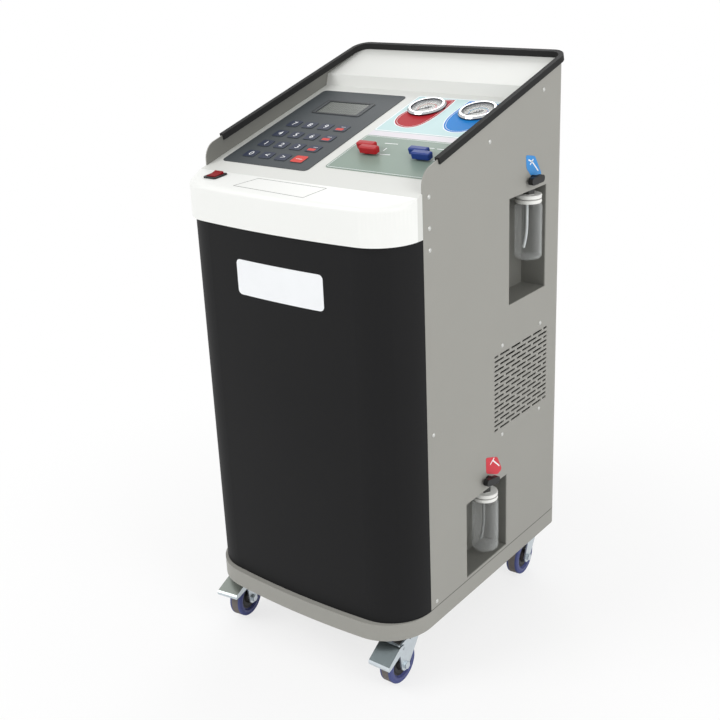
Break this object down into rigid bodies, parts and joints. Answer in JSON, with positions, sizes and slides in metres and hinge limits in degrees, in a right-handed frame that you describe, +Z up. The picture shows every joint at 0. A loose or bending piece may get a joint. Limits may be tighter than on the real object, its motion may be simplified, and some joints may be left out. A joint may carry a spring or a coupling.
{
  "type": "refrigerant recovery machine",
  "caption": "Wheeled cabinet that recovers and recharges refrigerant, with a sloping keypad and gauge console, oil bottles in side niches and braked castors.",
  "frame": {"origin": "on the floor, at the middle of the bounding box", "axes": "+Z up, the front with its console lip looks along -Y, +X to the right of someone facing the console"},
  "size_m": [0.4775, 0.5847, 1.0385],
  "materials": {
    "panel_grey": "satin powder coat",
    "front_black": "matt powder coat",
    "console_white": "semi-gloss moulding",
    "trim_rubber": "matt extruded rubber",
    "keypad_film": "satin printed film",
    "display": "polished",
    "board": "solder mask",
    "gauge_film": "satin printed film",
    "valve_film": "satin printed film",
    "gauge_case": "pressed",
    "dial_white": "printed",
    "bezel_steel": "polished",
    "clear_lens": "polished",
    "needle_black": "matt",
    "brass": "machined",
    "handle_red": "gloss",
    "handle_blue": "gloss",
    "black_plastic": "matt moulding",
    "rocker_red": "translucent gloss",
    "cap_white": "lacquered tinplate",
    "bottle_clear": "clear",
    "zinc": "zinc plated",
    "fin_metal": "bare",
    "fan_plastic": "matt moulding",
    "tank_paint": "gloss paint",
    "scale_metal": "bare",
    "black_paint": "gloss paint",
    "pump_red": "hammered paint",
    "drier_paint": "satin paint",
    "wheel_blue": "moulded polyurethane",
    "tread_grey": "matt rubber"
  },
  "bodies": {
    "cabinet": {"base_tray": "panel_grey", "right_side_panel": "panel_grey", "left_side_panel": "panel_grey", "rear_panel": "panel_grey", "front_panel": "front_black", "front_lip": "console_white", "top_console": "console_white", "edge_trim": "trim_rubber", "keypad_overlay": "keypad_film", "lcd_window": "display", "control_board": "board", "gauge_plate": "gauge_film", "valve_plate": "valve_film", "gauge_cases": "gauge_case", "gauge_dials": "dial_white", "gauge_bezels": "bezel_steel", "gauge_lenses": "clear_lens", "valve_manifold": "brass", "switch_housing": "black_plastic", "upper_niche": "panel_grey", "lower_niche": "panel_grey", "bottle_caps": "cap_white", "oil_valves": "brass", "panel_screws": "zinc", "condenser": "fin_metal", "fan_frame": "fan_plastic", "storage_tank": "tank_paint", "weigh_platform": "scale_metal", "compressor": "black_paint", "vacuum_pump": "pump_red", "filter_drier": "drier_paint", "power_inlet": "black_plastic", "hose_fittings": "brass", "castor_plates": "zinc", "castor_bolts": "zinc"},
    "left_needle": {"left_needle": "needle_black"},
    "left_valve_handle": {"left_valve_handle": "handle_red"},
    "right_needle": {"right_needle": "needle_black"},
    "right_valve_handle": {"right_valve_handle": "handle_blue"},
    "power_rocker": {"power_rocker": "rocker_red"},
    "upper_bottle": {"upper_bottle": "bottle_clear"},
    "upper_oil_knob": {"upper_oil_knob": "black_plastic"},
    "lower_bottle": {"lower_bottle": "bottle_clear"},
    "lower_oil_knob": {"lower_oil_knob": "black_plastic"},
    "fan_rotor": {"fan_rotor": "fan_plastic"},
    "front_left_fork": {"front_left_fork": "zinc"},
    "front_left_wheel": {"front_left_wheel": "wheel_blue", "front_left_tyre": "tread_grey"},
    "front_right_fork": {"front_right_fork": "zinc"},
    "front_right_wheel": {"front_right_wheel": "wheel_blue", "front_right_tyre": "tread_grey"},
    "rear_left_fork": {"rear_left_fork": "zinc"},
    "rear_left_wheel": {"rear_left_wheel": "wheel_blue", "rear_left_tyre": "tread_grey"},
    "rear_right_fork": {"rear_right_fork": "zinc"},
    "rear_right_wheel": {"rear_right_wheel": "wheel_blue", "rear_right_tyre": "tread_grey"},
    "front_left_pedal": {"front_left_pedal": "zinc"},
    "front_right_pedal": {"front_right_pedal": "zinc"}
  },
  "joints": [
    {"name": "left_needle_turn", "type": "hinge", "parent": "cabinet", "child": "left_needle", "pos_m": [0.052, 0.08618, 0.95434], "axis": [0, 0.2656, -0.9641], "range_deg": [0, 270]},
    {"name": "left_valve_turn", "type": "hinge", "parent": "cabinet", "child": "left_valve_handle", "pos_m": [0.052, -0.08772, 0.91163], "axis": [0, -0.2656, 0.9641], "range_deg": [0, 90]},
    {"name": "right_needle_turn", "type": "hinge", "parent": "cabinet", "child": "right_needle", "pos_m": [0.158, 0.08618, 0.95434], "axis": [0, 0.2656, -0.9641], "range_deg": [0, 270]},
    {"name": "right_valve_turn", "type": "hinge", "parent": "cabinet", "child": "right_valve_handle", "pos_m": [0.158, -0.08772, 0.91163], "axis": [0, -0.2656, 0.9641], "range_deg": [0, 90]},
    {"name": "power_rocker_tilt", "type": "hinge", "parent": "cabinet", "child": "power_rocker", "pos_m": [-0.169, -0.22827, 0.87101], "axis": [1, 0, 0], "range_deg": [-14, 0]},
    {"name": "upper_bottle_unscrew", "type": "slide", "parent": "cabinet", "child": "upper_bottle", "axis": [0, 0, -1], "range_m": [0, 0.011]},
    {"name": "upper_oil_knob_turn", "type": "hinge", "parent": "cabinet", "child": "upper_oil_knob", "pos_m": [0.23, 0.14625, 0.831], "axis": [1, 0, 0], "range_deg": [0, 90]},
    {"name": "lower_bottle_unscrew", "type": "slide", "parent": "cabinet", "child": "lower_bottle", "axis": [0, 0, -1], "range_m": [0, 0.011]},
    {"name": "lower_oil_knob_turn", "type": "hinge", "parent": "cabinet", "child": "lower_oil_knob", "pos_m": [0.23, -0.00375, 0.308], "axis": [1, 0, 0], "range_deg": [0, 90]},
    {"name": "fan_spin", "type": "hinge", "parent": "cabinet", "child": "fan_rotor", "pos_m": [0.21, 0.11575, 0.465], "axis": [1, 0, 0], "continuous": true},
    {"name": "front_left_swivel", "type": "hinge", "parent": "cabinet", "child": "front_left_fork", "pos_m": [-0.185, -0.20325, 0.0877], "axis": [0, 0, 1], "continuous": true},
    {"name": "front_left_roll", "type": "hinge", "parent": "front_left_fork", "child": "front_left_wheel", "pos_m": [-0.18083, -0.23296, 0.0375], "axis": [0.9903, 0.1392, 0], "continuous": true},
    {"name": "front_right_swivel", "type": "hinge", "parent": "cabinet", "child": "front_right_fork", "pos_m": [0.185, -0.20325, 0.0877], "axis": [0, 0, 1], "continuous": true},
    {"name": "front_right_roll", "type": "hinge", "parent": "front_right_fork", "child": "front_right_wheel", "pos_m": [0.185, -0.23325, 0.0375], "axis": [1, 0, 0], "continuous": true},
    {"name": "rear_left_swivel", "type": "hinge", "parent": "cabinet", "child": "rear_left_fork", "pos_m": [-0.185, 0.22025, 0.0877], "axis": [0, 0, 1], "continuous": true},
    {"name": "rear_left_roll", "type": "hinge", "parent": "rear_left_fork", "child": "rear_left_wheel", "pos_m": [-0.19124, 0.19091, 0.0375], "axis": [0.9781, -0.2079, 0], "continuous": true},
    {"name": "rear_right_swivel", "type": "hinge", "parent": "cabinet", "child": "rear_right_fork", "pos_m": [0.185, 0.22025, 0.0877], "axis": [0, 0, 1], "continuous": true},
    {"name": "rear_right_roll", "type": "hinge", "parent": "rear_right_fork", "child": "rear_right_wheel", "pos_m": [0.18709, 0.19032, 0.0375], "axis": [0.9976, 0.0698, 0], "continuous": true},
    {"name": "front_left_brake", "type": "hinge", "parent": "front_left_fork", "child": "front_left_pedal", "pos_m": [-0.17943, -0.24286, 0.0787], "axis": [0.9903, 0.1392, 0], "range_deg": [0, 16]},
    {"name": "front_right_brake", "type": "hinge", "parent": "front_right_fork", "child": "front_right_pedal", "pos_m": [0.185, -0.24325, 0.0787], "axis": [1, 0, 0], "range_deg": [-16, 0]}
  ]
}
